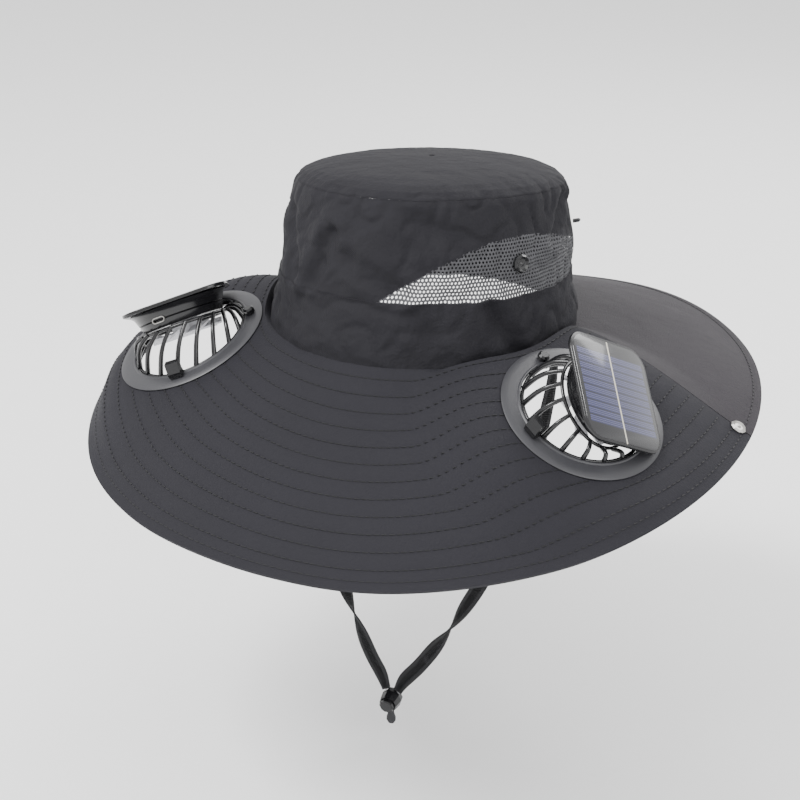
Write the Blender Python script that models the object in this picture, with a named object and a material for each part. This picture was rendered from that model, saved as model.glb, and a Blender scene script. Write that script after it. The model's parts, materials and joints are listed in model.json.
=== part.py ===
# A wide-brimmed fishing hat with two solar fans let into its brim.
# Metres, +Z up. The origin is the centre of the head opening, at the foot of the crown.
# -Y is the front, halfway between the fans. Azimuths run from the front towards +X, in degrees.
import bmesh
import bpy
import math
from mathutils import Matrix, Vector

# Clearances
GAP = 0.0003                # between pieces that touch
RUN_GAP = 0.0004            # between a spinning bore and its shaft

# Crown
CROWN_HALF_WIDTH = 0.0932
CROWN_HALF_LENGTH = 0.0980
CROWN_HEIGHT = 0.1010
CROWN_WALL = 0.0015
CROWN_FRONT = -23.0         # azimuth that the crown's own panels are centred on
CROWN_LEAN = 0.0030         # how far the top stands to one side of the foot
CROWN_LEAN_TO = 114.0
CROWN_TILT = 0.0090         # how much the top rises towards one side
CROWN_TILT_TO = 24.0
NET_WALL = 0.0010
BAND_HEIGHT = 0.0330
BAND_SKIRT = 0.0026         # how far the band reaches below the foot of the crown
DENT_DEPTH = 0.0040

# Brim
BRIM_WIDTH = 0.1161         # seen from above
BRIM_RADIUS = CROWN_HALF_WIDTH + BRIM_WIDTH
BRIM_DROP = 0.0854          # from the crown's foot to the lowest stretch of the edge
BRIM_WALL = 0.0022
FLAP_HALF_ANGLE = 88.5      # the neck flap runs this far round from the back, on both sides
FLAT_MARGIN = 0.0105        # the brim lies flat this far beyond a fan's flange
FLAT_BLEND = 0.0200         # and finds its own curve again over this much more

# Snap fasteners and the tab
CROWN_SNAP_RADIUS = 0.0056
CROWN_SNAP_HEIGHT = 0.0021
CROWN_SNAP_LEVEL = 0.0520
CROWN_SNAP_STAND = 0.0007    # it stands this far off the curved net
CROWN_SNAP_TURN = 84.0       # degrees from the crown's front
BRIM_SNAP_RADIUS = 0.0050
BRIM_SNAP_HEIGHT = 0.0018
BRIM_SNAP_STAND = 0.0004
BRIM_SNAP_INSET = 0.0085    # from the brim's edge to the snap's centre
TAB_LENGTH = 0.0052
TAB_WIDTH = 0.0034
TAB_THICKNESS = 0.0016
TAB_LEVEL = 0.0625
TAB_AZIMUTH = 112.0

# Fan units
FAN_STAND_OFF = 0.0508      # from the crown's foot to the unit's centre, seen from above
FAN_REACH = CROWN_HALF_WIDTH + FAN_STAND_OFF
BRIM_HOLE_RADIUS = 0.0385
FLANGE_RADIUS = 0.0485
FLANGE_BORE = 0.0375
FLANGE_THICKNESS = 0.0018
FLANGE_LIP = 0.0020
COLLAR_RADIUS = 0.0425      # the clamping collar under the brim
COLLAR_THICKNESS = 0.0016
CAGE_BAR = 0.0022
CAGE_BROW = 0.0022          # how far the cage's upper ring stands out from the pod's foot
RIB_COUNT = 16
RIB_TWIST = 14.0
RIB_WIDTH = 0.0019
RIB_BULGE = 0.0030
PIVOT_RISE = 0.0035         # from the flange's plane to the point that the head tips about
POD_STAND = 0.0088          # from that point to the pod's foot
POD_FOOT_RADIUS = 0.0262
POD_WAIST_RADIUS = 0.0282
POD_TOP_RADIUS = 0.0310
POD_HEIGHT = 0.0125
POD_EDGE = 0.0012
PANEL_SIZE = 0.0660
PANEL_CORNER = 0.0125
PANEL_THICKNESS = 0.0022
PANEL_BORDER = 0.0016
CELL_THICKNESS = 0.0009
SHAFT_RADIUS = 0.0016
SHAFT_LENGTH = 0.0075
ROTOR_RADIUS = 0.0225
ROTOR_DEPTH = 0.0085
HUB_RADIUS = 0.0088
HUB_EDGE = 0.0008
BLADE_COUNT = 7
BLADE_THICKNESS = 0.0011
BLADE_PITCH = 36.0
BLADE_UNTWIST = 12.0        # how much flatter a blade is at its tip
BLADE_SWEEP = 22.0
PORT_WIDTH = 0.0092
PORT_HEIGHT = 0.0036
PORT_DEPTH = 0.0022
PORT_RIM = 0.0006
CLIP_WIDTH = 0.0085
CLIP_HEIGHT = 0.0090
CLIP_DEPTH = 0.0052
BOSS_RADIUS = 0.0034
BOSS_HEIGHT = 0.0036

# Chin strap
STRAP_WIDTH = 0.0090
STRAP_THICKNESS = 0.0012
LOCK_RADIUS = 0.0070
LOCK_DEPTH = 0.0120         # along the button's axis
BUTTON_RADIUS = 0.0050
BUTTON_PROUD = 0.0030       # how far the button stands out of the lock
LOCK_LEAN = 0.25            # how far the button's axis dips, as a slope
LOCK_LIP = 0.0006
BUTTON_EDGE = 0.0008
KNOT_RADIUS = 0.0033
KNOT_LENGTH = 0.0108
KNOT_FLATNESS = 0.75

# One row for each level of the crown: shares of its radius and of its height.
CROWN_PROFILE = (
    # radius, height
    (1.000, 0.000),
    (0.999, 0.080),
    (0.975, 0.190),
    (0.962, 0.280),
    (0.950, 0.370),
    (0.940, 0.460),
    (0.925, 0.560),
    (0.905, 0.660),
    (0.885, 0.760),
    (0.870, 0.850),
    (0.856, 0.910),
    (0.760, 0.945),
    (0.580, 0.972),
    (0.300, 0.993),
    (0.000, 1.000),
)
SEAM_HEIGHT_SHARE = 0.910   # where the crown's top is sewn to its side

# One row for each dent in the crown's cloth.
CROWN_DENTS = (
    # azimuth, height share, depth share, spread in degrees, spread in height share
    (-12.0, 0.62, 0.90, 9.0, 0.22),
    (-34.0, 0.40, 0.45, 11.0, 0.16),
    (14.0, 0.70, -0.45, 14.0, 0.16),
    (28.0, 0.16, 0.60, 8.0, 0.12),
    (52.0, 0.74, 0.55, 8.0, 0.12),
    (76.0, 0.16, -0.40, 12.0, 0.14),
    (96.0, 0.66, 0.75, 9.0, 0.10),
    (118.0, 0.55, -0.40, 16.0, 0.18),
    (150.0, 0.60, 0.60, 12.0, 0.24),
    (-150.0, 0.50, 0.55, 13.0, 0.20),
    (-105.0, 0.68, 0.50, 12.0, 0.16),
    (-62.0, 0.72, -0.35, 14.0, 0.16),
)

# One row for each point along a net window's upper edge, on either side of the crown's front.
WINDOW_EDGE = (
    # degrees from the crown's front, share of the way from the band to the top seam
    (28.5, 0.000),
    (39.0, 0.190),
    (50.0, 0.365),
    (61.0, 0.500),
    (69.0, 0.570),
    (77.0, 0.605),
    (88.0, 0.615),
    (98.0, 0.590),
    (115.0, 0.500),
    (133.0, 0.400),
    (150.0, 0.300),
    (157.0, 0.250),
    (160.0, 0.000),
)

# One row for each stretch of the brim: how far its edge drops, as a share of the greatest
# drop, and how much the stretch halfway out is held up, as a share of the edge's own drop.
BRIM_EDGE = (
    # azimuth, drop share, hold share
    (-180.0, 0.350, 0.10),
    (-150.0, 0.450, 0.11),
    (-120.0, 0.490, 0.13),
    (-90.0, 0.640, 0.16),
    (-60.0, 0.855, 0.20),
    (-30.0, 0.960, 0.06),
    (0.0, 1.000, -0.02),
    (30.0, 0.970, 0.02),
    (60.0, 0.790, 0.14),
    (90.0, 0.545, 0.13),
    (120.0, 0.345, 0.12),
    (150.0, 0.270, 0.10),
)

# One row for each fan unit.
FAN_UNITS = (
    # side, azimuth, flange's slope outwards and forwards, panel's slope outwards and backwards,
    # bearings of the clip, the boss and the charging port, from outwards towards the back
    ("left", -63.0, 25.0, 13.0, 20.5, 19.5, -82.0, 178.0, -63.0),
    ("right", 63.0, 30.0, 4.0, 52.2, 24.4, -88.0, 178.0, 140.0),
)

# Route of a chin-strap strand, from its seam in the crown to the lock, for the +X side.
STRAP_ROUTE = (
    # x, y, z in metres
    (0.0892, -0.0030, 0.0070),
    (0.0893, -0.0031, -0.0010),
    (0.0884, -0.0034, -0.0130),
    (0.0866, -0.0042, -0.0350),
    (0.0830, -0.0062, -0.0600),
    (0.0782, -0.0090, -0.0870),
    (0.0714, -0.0125, -0.1140),
    (0.0626, -0.0168, -0.1410),
    (0.0520, -0.0215, -0.1660),
    (0.0405, -0.0262, -0.1880),
    (0.0290, -0.0308, -0.2080),
    (0.0180, -0.0350, -0.2250),
    (0.0085, -0.0378, -0.2370),
    (0.0041, -0.0393, -0.2457),
)
# Shares of a strand's length between which it turns to face the front, twists over, and
# narrows into the lock.
STRAP_TURN = (0.08, 0.50)
STRAP_TWIST = {"right": (0.62, 0.84), "left": (0.60, 0.83)}
STRAP_NECK = (0.90, 1.00)
STRAP_STEPS = 32
LOCK_CENTRE = (0.0, -0.0400, -0.2520)

# Facets
AROUND_CROWN = 48
AROUND_BRIM = 72
AROUND_FLAP = 56
BRIM_ROWS = 9
FLAP_ROWS = 5
FOOT_ROW = 0.045            # share of the way out where the brim's second row lies
AROUND_FAN = 24
AROUND_SMALL = 10
WINDOW_STEPS = 16

# Colours: red, green, blue, roughness, metallic
CLOTH = (0.045, 0.044, 0.052, 0.85, 0.0)
FLAP_CLOTH = (0.060, 0.058, 0.066, 0.80, 0.0)
NET = (0.020, 0.020, 0.023, 0.70, 0.0)
WEBBING = (0.018, 0.018, 0.021, 0.75, 0.0)
MATT_PLASTIC = (0.050, 0.050, 0.055, 0.55, 0.0)
GLOSS_PLASTIC = (0.010, 0.010, 0.011, 0.22, 0.0)
ROTOR_PLASTIC = (0.45, 0.46, 0.48, 0.45, 0.0)
SILICON = (0.012, 0.014, 0.060, 0.25, 0.2)
STEEL = (0.62, 0.61, 0.58, 0.30, 1.0)


def material(name, look):
    """A plain Principled material from a colour row."""
    made = bpy.data.materials.get(name) or bpy.data.materials.new(name)
    made.use_nodes = True
    shader = made.node_tree.nodes["Principled BSDF"]
    shader.inputs["Base Color"].default_value = (*look[:3], 1.0)
    shader.inputs["Roughness"].default_value = look[3]
    shader.inputs["Metallic"].default_value = look[4]
    made.diffuse_color = (*look[:3], 1.0)
    return made


def add_object(name, points, faces, look_name, look, frame=None, smooth_angle=35.0):
    """A named object from points and faces, placed by a frame and shaded smooth."""
    mesh = bpy.data.meshes.new(name)
    mesh.from_pydata([tuple(p) for p in points], [], faces)
    mesh.update()
    work = bmesh.new()
    work.from_mesh(mesh)
    bmesh.ops.remove_doubles(work, verts=work.verts, dist=1e-6)
    bmesh.ops.recalc_face_normals(work, faces=work.faces)
    if work.calc_volume(signed=True) < 0:
        bmesh.ops.reverse_faces(work, faces=work.faces)
    work.to_mesh(mesh)
    work.free()
    mesh.shade_smooth()
    mesh.set_sharp_from_angle(angle=math.radians(smooth_angle))
    mesh.materials.append(material(look_name, look))
    made = bpy.data.objects.new(name, mesh)
    bpy.context.scene.collection.objects.link(made)
    if frame is not None:
        made.matrix_world = frame
    return made


def cut_or_join(target, others, operation):
    """Applies a Boolean of the target with each of the others, and removes them."""
    for other in others:
        modifier = target.modifiers.new("step", "BOOLEAN")
        modifier.operation = operation
        modifier.solver = "EXACT"
        modifier.object = other
        bpy.context.view_layer.update()
        graph = bpy.context.evaluated_depsgraph_get()
        shaped = bpy.data.meshes.new_from_object(target.evaluated_get(graph))
        target.modifiers.clear()
        target.data = shaped
        bpy.data.objects.remove(other)
    shaped = target.data
    shaped.shade_smooth()
    shaped.set_sharp_from_angle(angle=math.radians(35.0))
    return target


def even_steps(first, last, count):
    return [first + (last - first) * k / count for k in range(count + 1)]


def blend(table, at):
    """The second column at a place in the first, along straight runs between the rows."""
    for low, high in zip(table, table[1:]):
        if at <= high[0]:
            share = max(0.0, (at - low[0]) / (high[0] - low[0]))
            return low[1] + (high[1] - low[1]) * share
    return table[-1][1]


def blend_round(table, azimuth, column):
    """Smooth interpolation round a full turn, through evenly spaced rows."""
    count = len(table)
    place = ((azimuth - table[0][0]) % 360.0) / (360.0 / count)
    row = int(place)
    share = place - row
    a, b, c, d = (table[(row + k) % count][column] for k in (-1, 0, 1, 2))
    slope_b, slope_c = (c - a) / 2.0, (d - b) / 2.0
    cube, square = share ** 3, share ** 2
    return (
        (2 * cube - 3 * square + 1) * b + (cube - 2 * square + share) * slope_b
        + (3 * square - 2 * cube) * c + (cube - square) * slope_c
    )


def turn_between(azimuth, centre):
    """The signed angle from a centre to an azimuth, from -180 to 180 degrees."""
    return (azimuth - centre + 180.0) % 360.0 - 180.0


def oval(azimuth, offset=0.0):
    """The point at the foot of the crown in this direction, moved out by an offset."""
    turn = math.radians(azimuth)
    across, along = math.sin(turn), -math.cos(turn)
    radius = 1.0 / math.hypot(across / CROWN_HALF_WIDTH, along / CROWN_HALF_LENGTH)
    return Vector((across * (radius + offset), along * (radius + offset), 0.0))


def crown_share(height_share):
    """The crown's radius share at a height share, along straight runs between the levels."""
    return blend([(h, r) for r, h in CROWN_PROFILE], height_share)


def crown_dent(azimuth, height_share):
    """How far the cloth is pushed in here by the dents, in metres."""
    depth = 0.0
    for centre, level, share, wide, tall in CROWN_DENTS:
        away = (turn_between(azimuth, centre) / wide) ** 2 + ((height_share - level) / tall) ** 2
        depth += share * DENT_DEPTH * math.exp(-away)
    fade = min(height_share / 0.08, (1.0 - height_share) / 0.2)
    return depth * min(1.0, max(0.0, fade))


def crown_place(azimuth, height_share):
    """A point on the crown's outside before its dents."""
    radius = crown_share(max(0.0, height_share))
    lean = math.radians(CROWN_LEAN_TO)
    place = oval(azimuth) * radius
    place += Vector((math.sin(lean), -math.cos(lean), 0)) * CROWN_LEAN * height_share
    rise = CROWN_TILT * math.cos(math.radians(azimuth - CROWN_TILT_TO)) * height_share * radius
    return place + Vector((0, 0, height_share * CROWN_HEIGHT + rise))


def crown_point(azimuth, height_share, depth=0.0):
    """A point on the crown's outside, or this deep inside its wall."""
    if height_share >= 0.999:
        return crown_place(azimuth, 1.0) - Vector((0, 0, depth))
    outward = oval(azimuth).normalized()
    step = 0.02
    low = min(max(0.0, height_share), 1.0 - step)
    lean = crown_share(low + step) - crown_share(low)
    normal = outward * (step * CROWN_HEIGHT) - Vector((0, 0, lean * CROWN_HALF_LENGTH))
    dent = crown_dent(azimuth, height_share)
    return crown_place(azimuth, height_share) - outward * dent - normal.normalized() * depth


def brim_curve(azimuth, share):
    """A point on the brim's top face from the crown (0) to the edge (1), left to itself."""
    inner = oval(azimuth, GAP)
    flat = inner.normalized() * (inner.length + (BRIM_RADIUS - inner.length) * share)
    drop = BRIM_DROP * blend_round(BRIM_EDGE, azimuth, 1)
    hold = blend_round(BRIM_EDGE, azimuth, 2)
    return flat - Vector((0, 0, drop * (share - hold * 4 * share * (1 - share))))


def radial(azimuth):
    """The level direction away from the hat's axis."""
    turn = math.radians(azimuth)
    return Vector((math.sin(turn), -math.cos(turn), 0.0))


def leaning(azimuth, outwards, backwards):
    """An upward direction that leans away from the axis and towards the hat's back."""
    side = 1.0 if azimuth > 0 else -1.0
    away = radial(azimuth)
    back = Vector((0, 0, 1)).cross(away) * side
    lean = away * math.tan(math.radians(outwards)) + back * math.tan(math.radians(backwards))
    return (lean + Vector((0, 0, 1))).normalized()


def frame_at(origin, normal, towards):
    """A frame at a point, with Z along the normal and X towards a direction."""
    z = normal.normalized()
    x = (towards - z * towards.dot(z)).normalized()
    y = z.cross(x)
    return Matrix((
        (x.x, y.x, z.x, origin.x),
        (x.y, y.y, z.y, origin.y),
        (x.z, y.z, z.z, origin.z),
        (0, 0, 0, 1),
    ))


def fan_frame(row):
    """A fan unit's frame: its origin on the brim, Z out of its flange and X outwards."""
    azimuth, outwards, forwards = row[1:4]
    inner = oval(azimuth, GAP).length
    place = brim_curve(azimuth, (FAN_REACH - inner) / (BRIM_RADIUS - inner))
    return frame_at(place, leaning(azimuth, outwards, -forwards), radial(azimuth))


def pod_frame(row):
    """The tipped frame of a fan's pod: its origin at the pod's foot, Z along the spindle."""
    azimuth, outwards, backwards = row[1], row[4], row[5]
    flange = fan_frame(row)
    spindle = leaning(azimuth, outwards, backwards)
    rise = flange.to_3x3() @ Vector((0, 0, PIVOT_RISE))
    return frame_at(flange.translation + rise + spindle * POD_STAND, spindle, radial(azimuth))


FLANGE_PLANES = [(fan_frame(row), fan_frame(row).inverted()) for row in FAN_UNITS]


def brim_top(azimuth, share):
    """A point on the brim's top face, which lies flat under each fan's flange."""
    place = brim_curve(azimuth, share)
    for frame, inverse in FLANGE_PLANES:
        local = inverse @ place
        away = math.hypot(local.x, local.y) - FLANGE_RADIUS - FLAT_MARGIN
        flat = min(1.0, max(0.0, 1.0 - away / FLAT_BLEND))
        flat = flat * flat * (3 - 2 * flat) * min(1.0, share * 30.0, (1.0 - share) * 12.0)
        place = place - Vector((0, 0, local.z / frame[2][2])) * flat
    return place


def brim_normal(azimuth, share):
    """The upward direction square to the brim, within the upright plane at this azimuth."""
    step = 0.02
    across = brim_top(azimuth, share + step) - brim_top(azimuth, max(0.0, share - step))
    away = radial(azimuth)
    return (Vector((0, 0, 1)) * across.dot(away) - away * across.z).normalized()


def brim_point(azimuth, share, depth=0.0):
    """A point on the brim, this deep under its top face."""
    down = Vector((0, 0, 1)) if share <= 0 else brim_normal(azimuth, share)
    return brim_top(azimuth, share) - down * depth


def shell(outer, inner, closed):
    """Points and faces of a wall between two grids of points, closed round or with end faces."""
    rows, columns = len(outer), len(outer[0])
    points = [p for grid in (outer, inner) for row in grid for p in row]
    half = rows * columns

    def at(side, row, column):
        return side * half + row * columns + column % columns

    faces = []
    spans = columns if closed else columns - 1
    for row in range(rows - 1):
        for column in range(spans):
            for side in (0, 1):
                quad = (
                    at(side, row, column), at(side, row, column + 1),
                    at(side, row + 1, column + 1), at(side, row + 1, column),
                )
                faces.append(quad if side == 0 else quad[::-1])
    for row in (0, rows - 1):
        for column in range(spans):
            faces.append((
                at(0, row, column), at(1, row, column),
                at(1, row, column + 1), at(0, row, column + 1),
            ))
    if not closed:
        for column in (0, columns - 1):
            for row in range(rows - 1):
                faces.append((
                    at(0, row, column), at(0, row + 1, column),
                    at(1, row + 1, column), at(1, row, column),
                ))
    return points, faces


def turned(profile, sides):
    """Points and faces of a solid of revolution about Z. The profile runs from axis to axis."""
    points, rings = [], []
    for radius, height in profile:
        if radius < 1e-9:
            rings.append([len(points)] * sides)
            points.append(Vector((0, 0, height)))
            continue
        rings.append(list(range(len(points), len(points) + sides)))
        for k in range(sides):
            turn = 2 * math.pi * k / sides
            points.append(Vector((radius * math.cos(turn), radius * math.sin(turn), height)))
    faces = []
    for low, high in zip(rings, rings[1:]):
        for k in range(sides):
            corners = (low[k], low[(k + 1) % sides], high[(k + 1) % sides], high[k])
            face = tuple(dict.fromkeys(corners))
            if len(face) > 2:
                faces.append(face)
    return points, faces


def ring(profile, sides):
    """Points and faces of a ring about Z whose closed section is the profile."""
    points = []
    for k in range(sides):
        turn = 2 * math.pi * k / sides
        for radius, height in profile:
            points.append(Vector((radius * math.cos(turn), radius * math.sin(turn), height)))
    count = len(profile)
    faces = []
    for k in range(sides):
        for j in range(count):
            a, b = k * count + j, k * count + (j + 1) % count
            c, d = ((k + 1) % sides) * count + (j + 1) % count, ((k + 1) % sides) * count + j
            faces.append((a, b, c, d))
    return points, faces


def rounded_square(size, corner, steps=4):
    """The outline of a square with round corners, in the XY plane."""
    half = size / 2 - corner
    points = []
    for quarter, (x, y) in enumerate(((1, 1), (-1, 1), (-1, -1), (1, -1))):
        for k in range(steps + 1):
            turn = math.radians(90 * quarter + 90 * k / steps)
            points.append((x * half + corner * math.cos(turn), y * half + corner * math.sin(turn)))
    return points


def prism(outline, low, high):
    """Points and faces of an upright prism on an outline."""
    count = len(outline)
    points = [Vector((x, y, z)) for z in (low, high) for x, y in outline]
    faces = [tuple(range(count))[::-1], tuple(range(count, 2 * count))]
    for k in range(count):
        faces.append((k, (k + 1) % count, count + (k + 1) % count, count + k))
    return points, faces


def swept(sections):
    """Points and faces of a bar through a list of sections with equally many corners."""
    count = len(sections[0])
    points = [p for section in sections for p in section]
    faces = [tuple(range(count))[::-1]]
    faces.append(tuple(range((len(sections) - 1) * count, len(sections) * count)))
    for row in range(len(sections) - 1):
        for k in range(count):
            a, b = row * count + k, row * count + (k + 1) % count
            faces.append((a, b, b + count, a + count))
    return points, faces


def crown_frame(azimuth, level):
    """A frame on the crown's outside, with Z out of the wall and X upwards."""
    share = level / CROWN_HEIGHT
    here = crown_point(azimuth, share)
    up = crown_point(azimuth, share + 0.02) - crown_point(azimuth, share - 0.02)
    side = crown_point(azimuth + 1, share) - crown_point(azimuth - 1, share)
    return frame_at(here, side.cross(up), up)


def brim_frame(azimuth, share):
    """A frame on the brim's top face, with Z out of it and X outwards, down the slope."""
    along = brim_top(azimuth, share + 0.01) - brim_top(azimuth, share - 0.01)
    round_it = brim_top(azimuth + 1, share) - brim_top(azimuth - 1, share)
    return frame_at(brim_top(azimuth, share), along.cross(round_it), along)


def window_top(azimuth):
    """The height share of a net window's upper edge here, or the band's top outside it."""
    away = abs(turn_between(azimuth, CROWN_FRONT))
    low = BAND_HEIGHT / CROWN_HEIGHT
    if away <= WINDOW_EDGE[0][0] or away >= WINDOW_EDGE[-1][0]:
        return low
    return low + (SEAM_HEIGHT_SHARE - low) * blend(WINDOW_EDGE, away)


def crown_azimuths():
    """Even steps round the crown, with the windows' ends and steep corners among them."""
    step = 360.0 / AROUND_CROWN
    marks = [WINDOW_EDGE[0][0], WINDOW_EDGE[-2][0], WINDOW_EDGE[-1][0]]
    fixed = [CROWN_FRONT + side * mark for mark in marks for side in (-1, 1)]
    even = [CROWN_FRONT + step * k for k in range(AROUND_CROWN)]
    kept = [a for a in even if all(abs(turn_between(a, f)) > 0.4 * step for f in fixed)]
    return sorted(a % 360.0 for a in kept + fixed)


def crown_wall(name, azimuths, low, high, levels, wall, look_name, look, closed=True):
    """A sewn wall of the crown between two edges, which are functions of the azimuth."""
    grids = []
    for depth in (0.0, wall):
        grids.append([
            [crown_point(a, low(a) + (high(a) - low(a)) * k / levels, depth) for a in azimuths]
            for k in range(levels + 1)
        ])
    points, faces = shell(grids[0], grids[1], closed)
    return add_object(name, points, faces, look_name, look)


def make_crown():
    """The crown's top, side and band, with a net window on either side."""
    azimuths = crown_azimuths()
    seam = GAP / CROWN_HEIGHT
    band = BAND_HEIGHT / CROWN_HEIGHT

    def side_low(azimuth):
        return window_top(azimuth) + seam

    crown_wall("crown_side", azimuths, side_low, lambda a: SEAM_HEIGHT_SHARE - seam, 3,
               CROWN_WALL, "cloth", CLOTH)
    crown_wall("crown_band", azimuths, lambda a: -BAND_SKIRT / CROWN_HEIGHT, lambda a: band - seam,
               2, CROWN_WALL, "cloth", CLOTH)
    for side, sign in (("right", 1), ("left", -1)):
        first, last = WINDOW_EDGE[0][0] + 1.2, WINDOW_EDGE[-1][0] - 0.35
        spread = even_steps(first, WINDOW_EDGE[-2][0], WINDOW_STEPS) + [last]
        steps = [CROWN_FRONT + sign * a for a in spread]
        crown_wall("net_window_" + side, steps, lambda a: band,
                   lambda a: max(band + seam, window_top(a) - seam), 2, NET_WALL, "net", NET,
                   closed=False)
    levels = [SEAM_HEIGHT_SHARE + seam, 0.955, 0.985]
    grids = [[[crown_point(a, h, d) for a in azimuths] for h in levels] for d in (0.0, CROWN_WALL)]
    points, faces = shell(grids[0], grids[1], True)
    count, rows = len(azimuths), len(levels)
    rim = count * (rows - 1)
    faces = [face for face in faces if not all(i % (count * rows) >= rim for i in face)]
    for side in (0, 1):
        tip = len(points)
        points.append(crown_point(0.0, 1.0, side * CROWN_WALL))
        start = side * count * rows + rim
        faces += [(start + k, start + (k + 1) % count, tip) for k in range(count)]
    add_object("crown_top", points, faces, "cloth", CLOTH)


def make_brim():
    """The stitched brim in front and the plain neck flap behind, with the fans' holes."""
    seam = math.degrees(GAP / CROWN_HALF_WIDTH)
    front, back = 180.0 - FLAP_HALF_ANGLE, 180.0 + FLAP_HALF_ANGLE
    spans = (
        ("brim_front", -front, front, AROUND_BRIM, BRIM_ROWS, "cloth", CLOTH),
        ("neck_flap", front + seam, back - seam, AROUND_FLAP, FLAP_ROWS, "flap_cloth", FLAP_CLOTH),
    )
    made = {}
    for name, first, last, around, rows, look_name, look in spans:
        azimuths = even_steps(first, last, round((last - first) / 360.0 * around))
        shares = [0.0] + even_steps(FOOT_ROW, 1.0, rows - 1)
        grids = [[[brim_point(a, s, d) for a in azimuths] for s in shares] for d in (0.0, BRIM_WALL)]
        points, faces = shell(grids[0], grids[1], False)
        made[name] = add_object(name, points, faces, look_name, look)
    for row in FAN_UNITS:
        points, faces = prism_circle(BRIM_HOLE_RADIUS, -BRIM_WALL * 6, BRIM_WALL * 6, AROUND_FAN)
        hole = add_object("hole", points, faces, "cloth", CLOTH, fan_frame(row))
        cut_or_join(made["brim_front"], [hole], "DIFFERENCE")


def prism_circle(radius, low, high, sides):
    """Points and faces of an upright cylinder."""
    return prism([
        (radius * math.cos(2 * math.pi * k / sides), radius * math.sin(2 * math.pi * k / sides))
        for k in range(sides)
    ], low, high)


def flat_ring(name, frame, inner, outer, low, high, lip, look_name, look):
    """A flat ring with a sloped outer lip."""
    middle = outer - lip
    section = [(inner, low), (outer, low), (outer, (low + high) / 2), (middle, high), (inner, high)]
    points, faces = ring(section, AROUND_FAN)
    return add_object(name, points, faces, look_name, look, frame)


def bearing(degrees):
    """The direction in a unit's own plane: 0 is outwards, +90 its own +Y."""
    turn = math.radians(degrees)
    return Vector((math.cos(turn), math.sin(turn), 0.0))


def make_cage(name, frame, pod):
    """The ribbed cage: a ring in the flange's bore, a ring under the pod and ribs between."""
    outer = FLANGE_BORE - GAP
    level = GAP + FLANGE_THICKNESS / 2
    half = CAGE_BAR / 2
    section = [(outer - CAGE_BAR, level - half), (outer, level - half),
               (outer, level + half), (outer - CAGE_BAR, level + half)]
    points, faces = ring(section, AROUND_FAN)
    lower = add_object(name, points, faces, "gloss_plastic", GLOSS_PLASTIC, frame)
    inner, brow = POD_FOOT_RADIUS - CAGE_BAR, POD_FOOT_RADIUS + CAGE_BROW
    section = [(inner, -GAP - CAGE_BAR), (brow, -GAP - CAGE_BAR), (brow, -GAP), (inner, -GAP)]
    points, faces = ring(section, AROUND_FAN)
    upper = add_object("upper", points, faces, "gloss_plastic", GLOSS_PLASTIC, pod)
    into = frame.inverted() @ pod
    points, faces = [], []
    for k in range(RIB_COUNT):
        turn = 360.0 * k / RIB_COUNT
        foot = bearing(turn) * (outer - half) + Vector((0, 0, level))
        seat = bearing(turn + RIB_TWIST) * (brow - half)
        head = into @ (seat - Vector((0, 0, GAP + half)))
        sections = []
        for share in (0.0, 0.5, 1.0):
            bulge = math.sin(math.pi * share) * RIB_BULGE
            middle = foot.lerp(head, share)
            outward = Vector((middle.x, middle.y, 0)).normalized()
            middle = middle + outward * bulge * 0.6 + Vector((0, 0, bulge * 0.8))
            across = Vector((-outward.y, outward.x, 0)) * (RIB_WIDTH / 2)
            deep = (outward * 0.6 + Vector((0, 0, 0.8))) * (RIB_WIDTH / 2)
            sections.append([middle - across - deep, middle + across - deep,
                             middle + across + deep, middle - across + deep])
        rib_points, rib_faces = swept(sections)
        faces += [tuple(i + len(points) for i in face) for face in rib_faces]
        points += rib_points
    ribs = add_object("ribs", points, faces, "gloss_plastic", GLOSS_PLASTIC, frame)
    return cut_or_join(lower, [ribs, upper], "UNION")


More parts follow.
